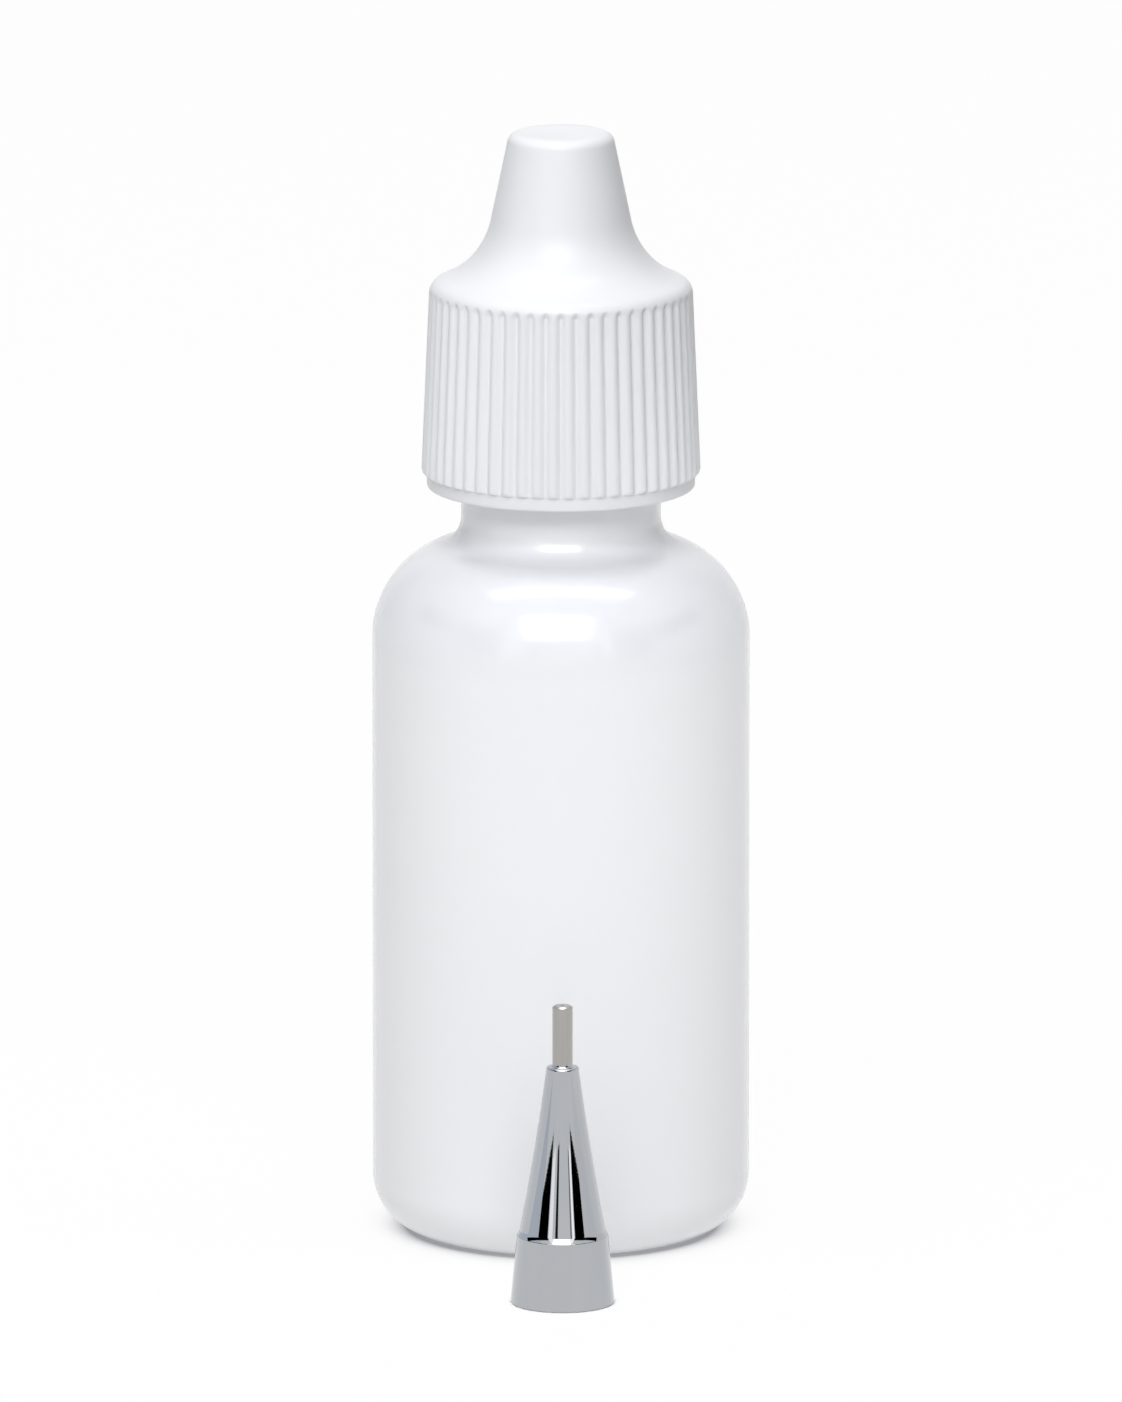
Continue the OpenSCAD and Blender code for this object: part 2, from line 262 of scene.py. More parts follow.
# Bottle
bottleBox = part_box("bottle")
bottle = {
    "bodyR": (bottleBox[1].x - bottleBox[0].x) / 2 / mm,
    "rimZ": bottleBox[1].z / mm,
    "wallTopZ": 40.2,
    "wall": 1.0,
    "heelR": 3.5,
    "shoulderR": 6.5,
    "filletR": 2.0,
    "neckR": 6.6,
    "boreR": 4.3,
    "neckH": 13.3,
    "footW": 1.4,
    "pushUp": 1.0,
    "threadZ": 55.759,
    "rimCut": 0.3,
    "rimInside": 1.0,
    "footCut": 0.25,
    "footSeam": 0.01,
    "partingH": 0.03,
    "partingW": 0.09,
    "pinchH": 0.16,
    "pinchW": 0.28,
    "pinchLength": 5.6,
    "pinchEnd": 0.5,
    # painted shade: the colour darkens between these heights, and painted light lightens it again toward the
    # neck
    "paintedShadeFrom": (38.5, 44),
    "paintedLightFrom": (44.5, 48.5),
    "paintedShadeBy": 0.9,
    "paintedLightBy": 0.75,
    "unevenBy": 0.1,
    "grain": 0.3,
    "columns": 240,
    "nearParting": [0.25, 0.5, 0.9, 1.4, 2.1, 3.2],
}


def bottleColumns():
    extra = [side + turn for side in (0, 180) for near in bottle["nearParting"] for turn in (-near, near)]
    step = 360 / bottle["columns"]
    even = [step * i for i in range(bottle["columns"])]
    near = bottle["nearParting"][-1] + step / 2
    clear = [a for a in even if a % 180 == 0 or min(a % 180, 180 - a % 180) > near]
    return sorted(math.radians(a % 360) for a in clear + extra)


def withParting(a, r, z):  # the fine line where the two halves of the mould met
    off = r * math.sin(a)
    return r + bottle["partingH"] * math.exp(-((off / bottle["partingW"]) ** 2)), z


def withPinch(a, r, z):  # the short welded bar under the base
    across = math.exp(-((r * math.sin(a) / bottle["pinchW"]) ** 2))
    along = clipped((bottle["pinchLength"] - r) / bottle["pinchEnd"])
    return r, z - bottle["pinchH"] * across * along


def withNeckThread(a, r, z):
    return r + threadLift(a, z, bottle["threadZ"]), z


def makeBottle():
    b = bottle
    footR = b["bodyR"] - b["heelR"]
    hollowR = footR - b["footW"]
    domeR = (hollowR ** 2 + b["pushUp"] ** 2) / (2 * b["pushUp"])
    domeTurn = math.degrees(math.asin(hollowR / domeR))
    shoulderX = b["bodyR"] - b["shoulderR"]
    filletX = b["neckR"] + b["filletR"]
    filletZ = b["rimZ"] - b["neckH"]
    filletTurn = math.degrees(math.atan2(filletZ - b["wallTopZ"], filletX - shoulderX))
    innerX = b["boreR"] + b["filletR"]
    reach = b["shoulderR"] - b["wall"]
    innerZ = b["wallTopZ"] + math.sqrt((reach + b["filletR"]) ** 2 - (innerX - shoulderX) ** 2)
    innerTurn = math.degrees(math.atan2(innerZ - b["wallTopZ"], innerX - shoulderX))
    dome = arc(0, b["pushUp"] - domeR, domeR, 90, 90 - domeTurn, steps=14)
    dome[0] = (0, b["pushUp"])
    heel = arc(footR, b["heelR"], b["heelR"], -90, 0, steps=30)
    wall = stretch(heel[-1], (b["bodyR"], b["wallTopZ"]), steps=10, lead=0.005)
    shoulder = arc(shoulderX, b["wallTopZ"], b["shoulderR"], 0, filletTurn, steps=44)
    fillet = arc(filletX, filletZ, b["filletR"], 180 + filletTurn, 180, steps=24)
    threadFrom, threadTo = threadSpan(b["threadZ"])
    threadRows = stretch((b["neckR"], threadFrom), (b["neckR"], threadTo), thread["rows"])
    rim = softened([(b["neckR"], threadTo + thread["margin"]), (b["neckR"], b["rimZ"]),
                    (b["boreR"], b["rimZ"]), (b["boreR"], b["rimZ"] - b["rimInside"])], b["rimCut"], steps=5)
    innerFillet = arc(innerX, innerZ, b["filletR"], 180, 180 + innerTurn, steps=10)
    innerShoulder = arc(shoulderX, b["wallTopZ"], reach, innerTurn, 0, steps=18)[1:]
    innerHeel = arc(footR, b["heelR"], b["heelR"] - b["wall"], 0, -90, steps=10)
    innerDome = arc(0, b["pushUp"] - domeR, domeR + b["wall"], 90 - domeTurn, 90, steps=8)
    innerDome[-1] = (0, b["pushUp"] + b["wall"])
    foot = softened([dome[-2], (hollowR, 0), (footR - b["footSeam"], 0)], b["footCut"])[1:]
    outline = rows(dome[:-1], shaped=withPinch) + rows(foot)
    outline += rows(heel[1:] + wall + shoulder[1:] + fillet[1:], shaped=withParting)
    outline += rows([(b["neckR"], threadFrom)]) + rows(threadRows, shaped=withNeckThread) + rows(rim[1:])
    outline += rows(innerFillet + innerShoulder + innerHeel + innerDome[1:], every=2)
    piece = turned("squeezeBottle", outline, bottleColumns(), bottlePlastic())
    dressed(piece, "bottle")
    print("bottle made")


def bottlePlastic():
    finish = newFinish("softWhitePlastic")
    height = finish.node("SeparateXYZ", None, [finish.place()], out="Z") / mm
    steps = []
    for low, high in bottle["paintedShadeFrom"], bottle["paintedLightFrom"]:
        inputs = {"Value": height, "From Min": low, "From Max": high}
        steps.append(finish.node("MapRange", {"interpolation_type": "SMOOTHSTEP"}, inputs))
    paintedShadeAndMottle = steps[0] * bottle["paintedShadeBy"] - steps[1] * bottle["paintedLightBy"]  # painted shade darkens the shoulder, and painted light lifts it again toward the neck
    paintedShadeAndMottle = paintedShadeAndMottle + finish.noise(9, 3) * bottle["unevenBy"]
    colour = finish.colours(paintedShadeAndMottle, (0.925, 0.938, 0.985), (0.805, 0.819, 0.862))
    skin = finish.noise(0.4, 3) * bottle["grain"] + finish.noise(3, 1)
    shader = finish.node("BsdfPrincipled", None, {
        "Base Color": colour,
        "Roughness": finish.noise(2).between(0.12, 0.16),
        "Normal": finish.bump(skin, 0.0012),
        "IOR": 1.51,
        "Subsurface Weight": 0.5,
        "Subsurface Radius": (1, 1, 1),
        "Subsurface Scale": 0.7 * mm,
    })
    return finish.end(shader)


# Dropper insert
insert = {
    "plugH": 6.5,
    "plugWall": 0.9,
    "flangeH": 1.0,
    "flangeR": 6.3,
    "bossR": 4.0,
    "bossH": 0.8,
    "coneH": 2.8,
    "nozzleR": 2.3,
    "nozzleInR": 1.3,
    "orificeR": 0.25,
    "outletR": 0.9,
    "outletH": 0.9,
    "orificeH": 1.0,
    "plugTaper": (0.45, 0.9),
    "hollowDrop": 1.0,  # its inner cone lies this much below the outer one
    "seam": (0.5, 1.0),  # the outline closes between these heights of its inner wall
    "cut": 0.3,
    "columns": 96,
}


def makeInsert():
    i = insert
    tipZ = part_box("dropper_insert")[1].z / mm
    rimZ = bottle["rimZ"]
    plugZ = rimZ - i["plugH"]
    plugR = bottle["boreR"]
    taperW, taperH = i["plugTaper"]
    seamLow, seamHigh = i["seam"]
    insideR = plugR - i["plugWall"]
    flangeZ = rimZ + i["flangeH"]
    bossZ = flangeZ + i["bossH"]
    nozzleZ = bossZ + i["coneH"]
    orificeZ = tipZ - i["outletH"] - i["orificeH"]
    outline = softened([
        (insideR, plugZ + seamLow),
        (insideR, plugZ),
        (plugR - taperW, plugZ),
        (plugR, plugZ + taperH),
        (plugR, rimZ),
        (i["flangeR"], rimZ),
        (i["flangeR"], flangeZ),
        (i["bossR"], flangeZ),
        (i["bossR"], bossZ),
        (i["nozzleR"], nozzleZ),
        (i["nozzleR"], tipZ),
        (i["outletR"], tipZ),
        (i["orificeR"], tipZ - i["outletH"]),
        (i["orificeR"], orificeZ),
        (i["nozzleInR"], orificeZ - i["nozzleInR"]),
        (i["nozzleInR"], nozzleZ - i["hollowDrop"]),
        (insideR, bossZ - i["hollowDrop"]),
        (insideR, plugZ + seamHigh),
    ], i["cut"], steps=5)
    piece = turned("dropperPlug", rows(outline), evenColumns(i["columns"]), insertPlastic())
    dressed(piece, "dropper_insert")
    print("dropper insert made")


def insertPlastic():
    finish = newFinish("clearishPlastic")
    shader = finish.node("BsdfPrincipled", None, {
        "Base Color": finish.colours(finish.noise(3), (0.8, 0.815, 0.82), (0.86, 0.87, 0.875)),
        "Roughness": finish.noise(1).between(0.28, 0.38),
        "Normal": finish.bump(finish.noise(0.4), 0.004),
        "IOR": 1.51,
        "Subsurface Weight": 0.3,
        "Subsurface Radius": (1, 1, 1),
        "Subsurface Scale": mm,
    })
    return finish.end(shader)


# Cap
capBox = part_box("cap")
cap = {
    "mouthZ": capBox[0].z / mm,
    "topZ": capBox[1].z / mm - 0.25,  # the photo's top is this much lower than the solid's
    "boreR": 7.65,
    "bandR": 8.9,
    "bandH": 0.9,
    "ribLowR": 9.27,
    "ribTopR": 8.75,
    "ribTopZ": 63.293,
    "edgeR": 1.0,
    "slope": 25,
    "flareR": 5.5,
    "taper": 11.75,
    "snoutR": 3.43,
    "rimR": 0.75,
    "dishR": 2.35,
    "dish": 0.16,
    "seatZ": 62.653,
    "sealZ": 71.653,
    "pocketR": 2.29,
    "pocketZ": 73.203,
    "snoutWall": 1.2,
    "threadZ": 54.7,
    "insideCut": 0.2,
    "mouthCut": 0.22,
    "bandSeam": 0.1,
    "ribs": 54,
    "grooveH": 0.34,
    "grooveShape": 1.6,
    "lowRound": 0.34,
    "runEnd": 0.3,
    "runOut": 0.55,
    "runRise": 0.12,
    "ribShares": [0, 0.05, 0.1, 0.15, 0.21, 0.27, 0.34, 0.42],
    "front": -0.25,
    "plainEvery": 4,  # rings without ribs have every fourth column
    "ribRows": 8,
    "endRows": 23,
    "endRowsFrom": 0.3,
    "endRowStep": 0.035,
}


def capColumns():
    half = cap["ribShares"]
    shares = half + [0.5] + [1 - share for share in half[:0:-1]]
    turns = [(rib + share) / cap["ribs"] for rib in range(cap["ribs"]) for share in shares]
    return [2 * math.pi * (cap["front"] + turn) for turn in turns]  # a groove stands at the front


def ribbed(a, r, z):
    place = ((a / (2 * math.pi) - cap["front"]) * cap["ribs"]) % 1
    groove = (0.5 + 0.5 * math.cos(2 * math.pi * place)) ** cap["grooveShape"]
    low = cap["mouthZ"] + cap["bandH"]
    up = clipped((z - low) / cap["lowRound"])
    bulge = math.sqrt(1 - (1 - up) ** 2)
    end = cap["ribTopZ"] + cap["runEnd"] + cap["runRise"] * groove
    ribR = r - cap["grooveH"] * groove * smoothed(clipped((end - z) / cap["runOut"]))
    return cap["bandR"] + (ribR - cap["bandR"]) * bulge, z


def withCapThread(a, r, z):
    return r - threadLift(a, z, cap["threadZ"]), z


def makeCap():
    c = cap
    slope = math.radians(c["slope"])
    taper = math.radians(c["taper"])
    lowZ = c["mouthZ"] + c["bandH"]
    edgeX = c["ribTopR"] - c["edgeR"]
    rimX = c["snoutR"] - c["rimR"] * (1 - math.sin(taper)) / math.cos(taper)
    side = Vector((c["snoutR"] + c["flareR"] / math.cos(taper), c["topZ"]))
    sideWay = Vector((math.tan(taper), -1))
    foot = Vector((edgeX + c["edgeR"] * math.sin(slope), c["ribTopZ"] + c["edgeR"] * math.cos(slope)))
    gap = foot + Vector((0, c["flareR"] / math.cos(slope))) - side
    footWay = Vector((-1, math.tan(slope)))
    share = (gap.x * footWay.y - gap.y * footWay.x) / (sideWay.x * footWay.y - sideWay.y * footWay.x)
    flare = side + sideWay * share
    hollowR = (c["dishR"] ** 2 + c["dish"] ** 2) / (2 * c["dish"])
    hollowTurn = math.degrees(math.asin(c["dishR"] / hollowR))

    def snoutInside(z):
        return c["snoutR"] + (c["topZ"] - z) * math.tan(taper) - c["snoutWall"]

    def crestR(z):
        lean = (c["ribLowR"] - c["ribTopR"]) / (c["ribTopZ"] - lowZ)
        if z < c["ribTopZ"]:
            return c["ribTopR"] + lean * (c["ribTopZ"] - z)
        return edgeX + math.sqrt(c["edgeR"] ** 2 - (z - c["ribTopZ"]) ** 2)

    threadFrom, threadTo = threadSpan(c["threadZ"])
    inside = softened([(0, c["pocketZ"]), (c["pocketR"], c["pocketZ"]), (c["pocketR"], c["sealZ"]),
                       (snoutInside(c["sealZ"]), c["sealZ"]), (snoutInside(c["seatZ"]), c["seatZ"]),
                       (c["boreR"], c["seatZ"]), (c["boreR"], threadTo + thread["margin"])], c["insideCut"])
    threadRows = stretch((c["boreR"], threadTo), (c["boreR"], threadFrom), thread["rows"])
    mouth = softened([(c["boreR"], threadFrom - thread["margin"]), (c["boreR"], c["mouthZ"]),
                      (c["bandR"], c["mouthZ"]), (c["bandR"], lowZ - c["bandSeam"])], c["mouthCut"], steps=5)
    count = c["ribRows"]
    lowRows = [lowZ + c["lowRound"] * (i / count) ** 2 for i in range(count + 1)]
    endZ = c["ribTopZ"] - c["endRowsFrom"]
    midRows = [lowRows[-1] + (endZ - lowRows[-1]) * i / count for i in range(1, count + 1)]
    endRows = [endZ + c["endRowStep"] * (i + 1) for i in range(c["endRows"])]
    bent = math.degrees(math.asin((endRows[-1] - c["ribTopZ"]) / c["edgeR"]))
    edge = arc(edgeX, c["ribTopZ"], c["edgeR"], bent, 90 - c["slope"], steps=14)[1:]
    flareArc = arc(flare.x, flare.y, c["flareR"], 270 - c["slope"], 180 + c["taper"], steps=24)
    rimArc = arc(rimX, c["topZ"] - c["rimR"], c["rimR"], c["taper"], 90, steps=18)
    snout = stretch(flareArc[-1], rimArc[0], steps=6, lead=0.01)
    dish = arc(0, c["topZ"] - c["dish"] + hollowR, hollowR, hollowTurn - 90, -90, steps=12)
    dish[-1] = (0, c["topZ"] - c["dish"])
    plain = c["plainEvery"]
    outline = rows(inside[:-1], plain) + rows(threadRows, plain, withCapThread) + rows(mouth[1:-1], plain)
    outline += rows([(crestR(z), z) for z in lowRows + midRows + endRows], shaped=ribbed)
    outline += rows(edge + flareArc + snout[:-1] + rimArc + dish, plain)
    piece = turned("screwCap", outline, capColumns(), capPlastic())
    dressed(piece, "cap")
    print("cap made")


def capPlastic():
    finish = newFinish("cleanWhitePlastic")
    cloud = finish.noise(6)
    shader = finish.node("BsdfPrincipled", None, {
        "Base Color": finish.colours(cloud, (0.815, 0.823, 0.85), (0.835, 0.843, 0.868)),
        "Roughness": finish.noise(1.5).between(0.4, 0.45),
        "Normal": finish.bump(finish.noise(0.35, 3), 0.001),
        "IOR": 1.34,
        "Specular IOR Level": 0.3,
        "Coat Weight": 0.12,
        "Coat Roughness": 0.14,
        "Subsurface Weight": 0.15,
        "Subsurface Radius": (1, 1, 1),
        "Subsurface Scale": 0.4 * mm,
    })
    return finish.end(shader)


# Seal in the cap's snout
seal = {"r": 2.25, "noseR": 0.55, "h": 1.5, "cut": 0.12, "columns": 64}


def makeSeal():
    noseZ, topZ = [corner.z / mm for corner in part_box("cap_seal")]
    faceZ = topZ - seal["h"]
    outline = softened([(0, noseZ), (seal["noseR"] / 2, noseZ), (seal["noseR"], faceZ), (seal["r"], faceZ),
                        (seal["r"], topZ), (0, topZ)], seal["cut"])
    piece = turned("sealDisc", rows(outline), evenColumns(seal["columns"]), sealRubber())
    dressed(piece, "cap_seal")
    print("seal made")


def sealRubber():
    finish = newFinish("softGreyRubber")
    shader = finish.node("BsdfPrincipled", None, {
        "Base Color": finish.colours(finish.noise(1), (0.64, 0.65, 0.66), (0.72, 0.73, 0.74)),
        "Roughness": finish.noise(0.6).between(0.5, 0.6),
        "Normal": finish.bump(finish.noise(0.2), 0.004),
    })
    return finish.end(shader)


# Metal nib
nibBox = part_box("nib_body")
nib = {
    "middle": ((nibBox[0].x + nibBox[1].x) / 2, (nibBox[0].y + nibBox[1].y) / 2),
    "footR": (nibBox[1].x - nibBox[0].x) / 2 / mm,
    "topZ": nibBox[1].z / mm,
    "collarR": 3.025,
    "collarZ": 4.53,
    "bevelH": 0.37,
    "coneLowR": 2.83,
    "coneTopR": 1.05,
    "hollow": 0.086,
    "coneSteps": 28,
    "topRound": 0.15,
    "lipH": 0.2,
    "lipR": 0.72,
    "bevelTurns": (54, 71),
    "bevelSteps": 10,
    "footCut": 0.05,
    "collarEdge": (0.06, 0.12),
    "collarLead": Vector((0.002, -0.02)),  # a ring just below the bevel keeps its lower edge crisp
    "footFillet": 0.04,
    "socketR": 2.32,
    "socketH": 5.0,
    "socketCone": 2.6,
    "socketSeam": 0.3,  # the outline closes on the socket's straight wall
    "tubeR": 0.67,
    "boreR": 0.09,
    "holeCut": 0.05,
    "held": 6.0,
    "grip": 0.01,
    "tubeBevel": (0.15, 0.11),
    "tubeCut": 0.02,
    "tubeSeam": 0.5,
    "columns": 160,
    "tubeColumns": 96,
    "rough": 0.012,
    "unevenBy": 0.015,
}


def makeNib():
    n = nib
    coneZ = n["collarZ"] + n["bevelH"]
    coneH = n["topZ"] - coneZ
    tubeZ = n["topZ"] - n["held"]
    holdR = n["tubeR"] - n["grip"]

    def coneR(t):  # its side is hollowed by a parabola
        return n["coneLowR"] + (n["coneTopR"] - n["coneLowR"]) * t - 4 * n["hollow"] * t * (1 - t)

    coneSteps = n["coneSteps"]
    cone = [(coneR(i / coneSteps), coneZ + coneH * i / coneSteps) for i in range(coneSteps)]
    lipZ = n["topZ"] + n["lipH"]
    low, high = [math.tan(math.radians(turn)) for turn in n["bevelTurns"]]  # slopes at the bevel's two ends
    width = n["collarR"] - n["coneLowR"]
    bendX = (n["bevelH"] - high * width) / (low - high)
    bend = Vector((n["collarR"] - bendX, n["collarZ"] + low * bendX))
    corner = Vector((n["collarR"], n["collarZ"]))
    bevel = []
    for i in range(n["bevelSteps"]):
        t = i / n["bevelSteps"]
        toBend = corner * (1 - t) + bend * t
        fromBend = bend * (1 - t) + Vector(cone[0]) * t
        bevel.append(tuple(toBend * (1 - t) + fromBend * t))
    edgeH, edgeCut = n["collarEdge"]
    seam = (n["socketR"], n["socketSeam"])
    foot = [seam, (n["socketR"], 0), (n["footR"], 0), (n["collarR"], n["collarZ"] - edgeH)]
    collar = softened(foot, [n["footCut"], edgeCut], steps=6)
    collar += [tuple(corner + n["collarLead"])] + bevel
    collar += softened([bevel[-1], cone[0], cone[1]], n["footFillet"], steps=6)[1:]
    top = softened([cone[-1], (n["coneTopR"], n["topZ"]), (n["lipR"], n["topZ"]), (holdR, lipZ)],
                   n["topRound"], steps=10)
    hole = softened([(holdR, lipZ), (holdR, tubeZ), (n["boreR"], tubeZ),
                     (n["boreR"], n["socketH"] + n["socketCone"]), (n["socketR"], n["socketH"]), seam],
                    n["holeCut"], steps=2)
    outline = collar[:-1] + cone[1:] + top[1:] + hole[1:-1]
    columns = evenColumns(n["columns"])
    piece = turned("nibCone", rows(outline), columns, brightPlating(), n["middle"], sharp=60)
    dressed(piece, "nib_body")
    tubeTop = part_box("nib_tube")[1].z / mm
    bevelW, bevelH = n["tubeBevel"]
    seam = (n["boreR"], tubeZ + n["tubeSeam"])
    tube = softened([seam, (n["boreR"], tubeZ), (n["tubeR"], tubeZ), (n["tubeR"], tubeTop - bevelH),
                     (n["tubeR"] - bevelW, tubeTop), (n["boreR"], tubeTop), seam], n["tubeCut"], steps=3)
    columns = evenColumns(n["tubeColumns"])
    piece = turned("nibTube", rows(tube[:-1]), columns, drawnSteel(), n["middle"])
    dressed(piece, "nib_tube")
    print("nib made")


def brightPlating():
    finish = newFinish("brightPlating")
    rings = finish.noise(0.25, stretch=(0.02, 0.02, 1))  # stretched around, as left by the lathe
    bands = finish.noise(2.5, stretch=(1, 1, 0.08))  # stretched upwards
    shader = finish.node("BsdfPrincipled", None, {
        "Base Color": finish.colours(bands, (0.38, 0.4, 0.43), (0.5, 0.51, 0.525)),
        "Metallic": 1,
        "Roughness": (finish.noise(1.5) + rings) * nib["unevenBy"] + nib["rough"],
        "Normal": finish.bump(rings, 0.0003),
    })
    return finish.end(shader)


def drawnSteel():
    finish = newFinish("drawnSteel")
    lines = finish.noise(0.12, 3, (1, 1, 0.02))  # stretched along the tube, as drawn
    shader = finish.node("BsdfPrincipled", None, {
        "Base Color": finish.colours(lines, (0.36, 0.35, 0.335), (0.44, 0.425, 0.41)),
        "Metallic": 1,
        "Roughness": lines.between(0.2, 0.28),
        "Normal": finish.bump(lines, 0.004),
    })
    return finish.end(shader)


# Camera at the photograph's place, in metres, degrees and pixels, with its sensor in millimetres
view = {"away": 1.8, "elevation": 12.05, "lookZ": 0.03566, "focalPixels": 27072, "tall": 1402, "sensor": 36}


def makeCamera():
    camera = bpy.data.objects.new("photoCamera", bpy.data.cameras.new("photoCamera"))
    bpy.context.scene.collection.objects.link(camera)
    up = math.radians(view["elevation"])
    camera.location = (0, -view["away"] * math.cos(up), view["lookZ"] + view["away"] * math.sin(up))
    camera.rotation_euler = (math.pi / 2 - up, 0, 0)
    camera.data.sensor_width = view["sensor"]  # spans the long side of the frame
    camera.data.lens = view["focalPixels"] * view["sensor"] / view["tall"]
    bpy.context.scene.camera = camera
    bpy.context.scene.view_settings.view_transform = "Standard"
    print("camera placed")


# Floor: it glows white to the eye, and only near the pieces' feet its matt colour takes over. Each foot has
# its middle in metres, its radius and the length over which the glow comes back.
floor = {
    "half": 1.6,
    "shade": (0.93, 0.93, 0.935),
    # painted shadow: the darker floor colour under the bottle's foot
    "under": (0.52, 0.52, 0.525),
    "white": 0.997,
    "bounce": 0.78,
    "far": 0.03,
    "feet": [((0, 0), 10.4, 0.95), (nib["middle"], 3.44, 0.1)],
}


def makeFloor():
    half = floor["half"]
    mesh = bpy.data.meshes.new("floor")
    corners = [(-half, -half, 0), (half, -half, 0), (half, half, 0), (-half, half, 0)]
    mesh.from_pydata(corners, [], [(0, 1, 2, 3)])
    mesh.materials.append(floorFinish())
    piece = bpy.data.objects.new("floor", mesh)
    bpy.context.scene.collection.objects.link(piece)
    print("floor laid")


def floorFinish():
    finish = newFinish("paleFloor")
    nears = []
    for middle, footR, fade in floor["feet"]:
        spot = finish.place((1, 1, 0), (*middle, 0))
        away = finish.node("VectorMath", {"operation": "LENGTH"}, [spot], out="Value") / mm - footR
        nears.append(math.e ** (away.maths("MAXIMUM", away, 0.0) * (-1 / fade)))
    shadow = nears[0].maths("MAXIMUM", *nears)
    seen = seenDirectly(finish)
    shade = finish.node("BsdfDiffuse", None, {"Color": (*floor["shade"], 1)})
    under = finish.node("BsdfDiffuse", None, {"Color": (*floor["under"], 1)})
    matt = finish.mixed(nears[0], shade, under)  # painted shadow: a darker floor colour only under the bottle
    bounce = finish.node("Emission", None, {"Strength": floor["bounce"]})
    bright = finish.node("Emission", None, {"Strength": floor["white"]})
    glow = finish.mixed(seen, bounce, bright)
    return finish.end(finish.mixed(seen * shadow.between(floor["far"], 1), glow, matt))


# Studio: soft banks and lamps for light, boards that only show as reflections in gloss and metal, and two
# cards that keep light off the cap and don't show. Azimuth 0 is in front, at the camera, and 90 to the right.
studio = {
    "banks": {
        "behind": {"azimuth": 180, "elevation": 45, "glow": 0.74},
        "front": {"azimuth": 0, "elevation": 10, "glow": 0.42},
        "left": {"azimuth": -60, "elevation": 15, "glow": 0.38},
    },
    "bankFocus": 4,
    "lamps": {
        "frontLamp": {"azimuth": -2.5, "elevation": 42, "away": 0.9, "size": (0.6, 0.44), "glow": 6.1},
        "topLamp": {"azimuth": 0, "elevation": 89, "away": 0.9, "size": (0.92, 0.19), "glow": 6.4},
        "lowFill": {"azimuth": 72, "elevation": -8, "away": 0.1, "size": (0.05, 0.03), "glow": 1.7,
                    "gloss": False},
    },
    "boards": {
        "leftFlag": {"azimuths": (-67, -39.5), "elevations": (4.0, 34), "glow": 0},
        "rightFlag": {"azimuths": (33, 60), "elevations": (4.1, 34), "glow": 0},
        "leftShade": {"azimuths": (-108, -67), "elevations": (20, 33), "glow": 0},
        "rightShade": {"azimuths": (60, 104), "elevations": (20, 33), "glow": 0},
        "leftStrip": {"azimuths": (-37.5, -27), "elevations": (5.0, 50), "glow": 1.6},
        "rightStrip": {"azimuths": (26, 31.5), "elevations": (5.0, 50), "glow": 1.8},
        "leftBar": {"azimuths": (-19.5, -12.5), "elevations": (5.3, 24), "glow": 0.02},
        "rightBar": {"azimuths": (21, 24.5), "elevations": (5.3, 24), "glow": 0.25},
        "brow": {"azimuths": (-27, 26), "elevations": (27, 54), "glow": 1.9, "away": 1.3},
        "leftWall": {"azimuths": (-150, -66), "elevations": (0.5, 60), "glow": 0.82, "away": 1.3,
                     "tint": (0.93, 0.98, 1.06)},
        "rightWall": {"azimuths": (56, 150), "elevations": (0.5, 60), "glow": 0.94, "away": 1.3},
    },
    "cards": {
        "capCardRight": {"azimuths": (35, 125), "elevations": (-22, 25), "glow": 0, "away": 0.045},
        "capCardLeft": {"azimuths": (-120, -75), "elevations": (-15, 20), "glow": 0, "away": 0.045},
    },
    "boardAway": 1.2,
    "cardLift": 0.063,
}


def heading(azimuth, elevation):
    a = math.radians(azimuth)
    e = math.radians(elevation)
    return Vector((math.sin(a) * math.cos(e), -math.cos(a) * math.cos(e), math.sin(e)))


def makeWorld():
    world = bpy.data.worlds.new("studioWorld")
    bpy.context.scene.world = world
    finish = Finish(world)
    way = finish.node("TexCoord", out="Generated")
    room = 0
    for bank in studio["banks"].values():
        toBank = heading(bank["azimuth"], bank["elevation"])
        facing = finish.node("VectorMath", {"operation": "DOT_PRODUCT"}, [way, toBank], out="Value")
        room = room + facing.maths("MAXIMUM", facing, 0.0) ** studio["bankFocus"] * bank["glow"]
    seen = seenDirectly(finish)
    strength = seen + (1 - seen) * room
    finish.end(finish.node("Background", None, {"Color": (*white, 1), "Strength": strength}), "OutputWorld")


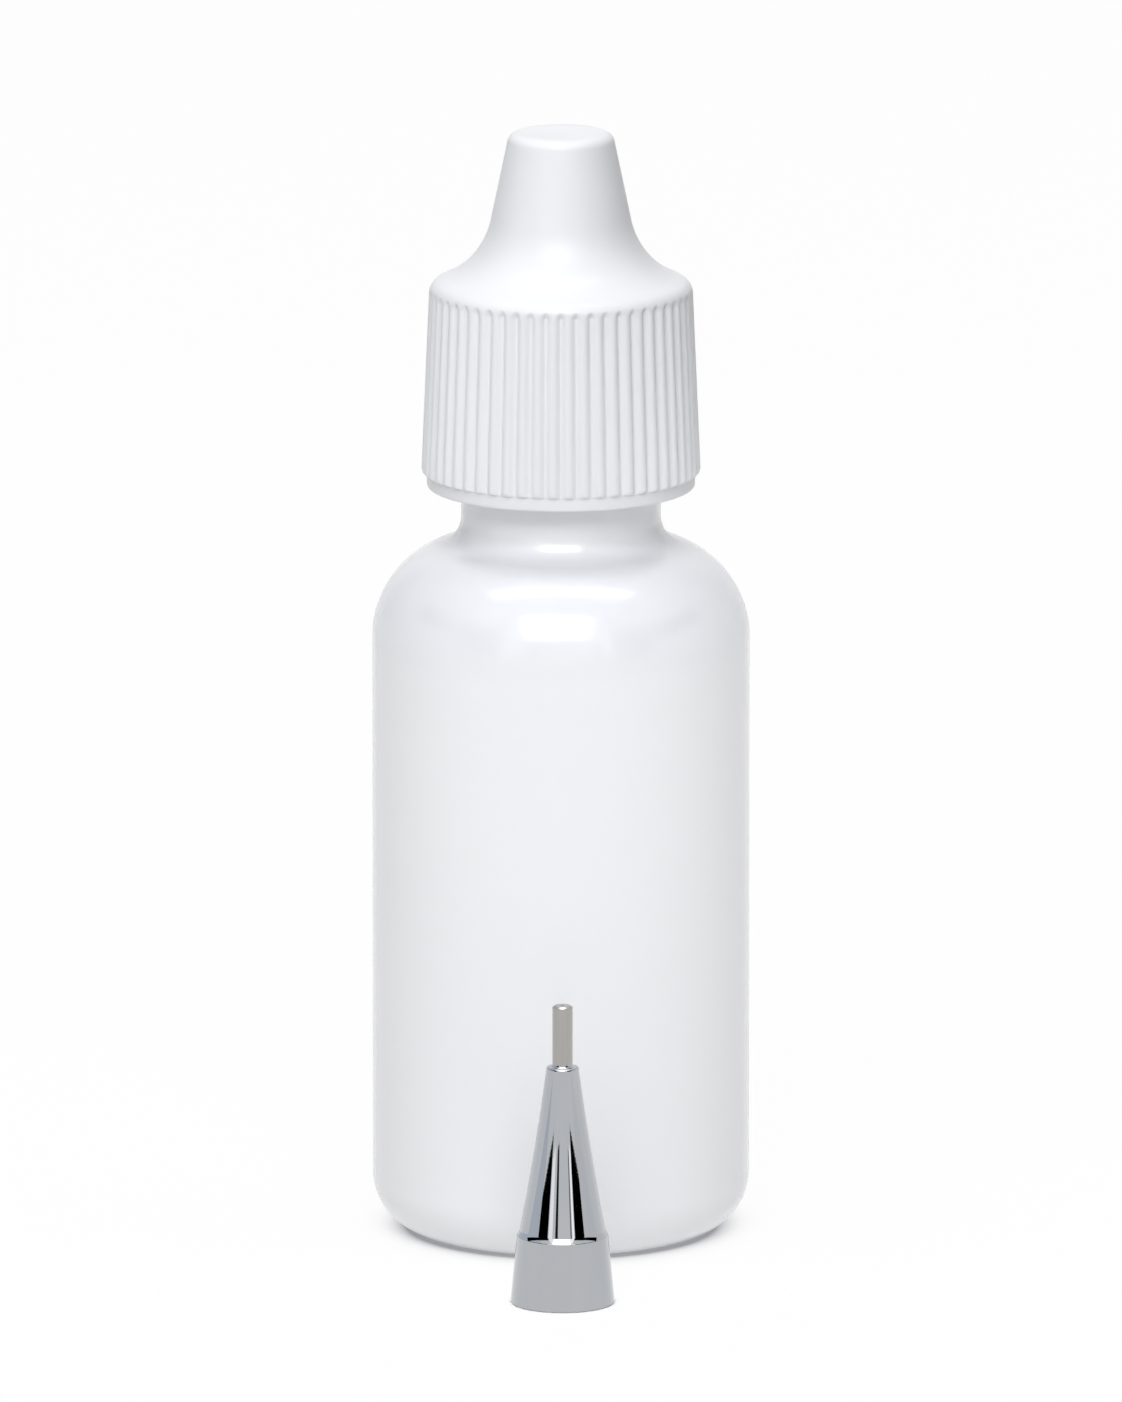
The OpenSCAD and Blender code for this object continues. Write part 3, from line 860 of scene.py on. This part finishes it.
def seenDirectly(finish):  # 1 for what the camera, gloss and glass see, 0 for the light on matt surfaces
    rays = ("Camera", "Glossy", "Transmission")
    return sum(finish.node("LightPath", out=f"Is {ray} Ray") for ray in rays)


def makeLamp(name, spec):
    light = bpy.data.lights.new(name, "AREA")
    light.shape = "RECTANGLE"
    light.size, light.size_y = spec["size"]
    light.energy = spec["glow"] * light.size * light.size_y * math.pi
    lamp = bpy.data.objects.new(name, light)
    bpy.context.scene.collection.objects.link(lamp)
    way = heading(spec["azimuth"], spec["elevation"])
    lamp.location = way * spec["away"] + Vector((0, 0, view["lookZ"]))
    lamp.rotation_euler = way.to_track_quat("Z", "Y").to_euler()
    lamp.visible_glossy = spec.get("gloss", True)


def makeBoard(name, spec, lift=0, blocks=False, steps=10):
    finish = newFinish(name)
    tint = (*spec.get("tint", white), 1)
    away = spec.get("away", studio["boardAway"])
    finish.end(finish.node("Emission", None, {"Color": tint, "Strength": spec["glow"]}))
    (left, right), (low, high) = spec["azimuths"], spec["elevations"]
    verts = []
    for j in range(steps + 1):
        for i in range(steps + 1):
            azimuth = left + (right - left) * i / steps
            elevation = low + (high - low) * j / steps
            verts.append(heading(azimuth, elevation) * away + Vector((0, 0, lift)))
    wide = steps + 1
    faces = [(k, k + 1, k + 1 + wide, k + wide) for k in range(wide * steps) if k % wide < steps]
    mesh = bpy.data.meshes.new(name)
    mesh.from_pydata(verts, [], faces)
    mesh.materials.append(finish.owner)
    board = bpy.data.objects.new(name, mesh)
    bpy.context.scene.collection.objects.link(board)
    board.visible_camera = False
    board.visible_diffuse = blocks
    board.visible_shadow = blocks
    board.visible_glossy = not blocks
    board.visible_transmission = False
    board.visible_volume_scatter = False


makeCamera()
makeBottle()
makeInsert()
makeCap()
makeSeal()
makeNib()
makeFloor()
makeWorld()
for name, spec in studio["lamps"].items():
    makeLamp(name, spec)
for name, spec in studio["boards"].items():
    makeBoard(name, spec)
for name, spec in studio["cards"].items():
    makeBoard(name, spec, studio["cardLift"], blocks=True)
print("studio lit")
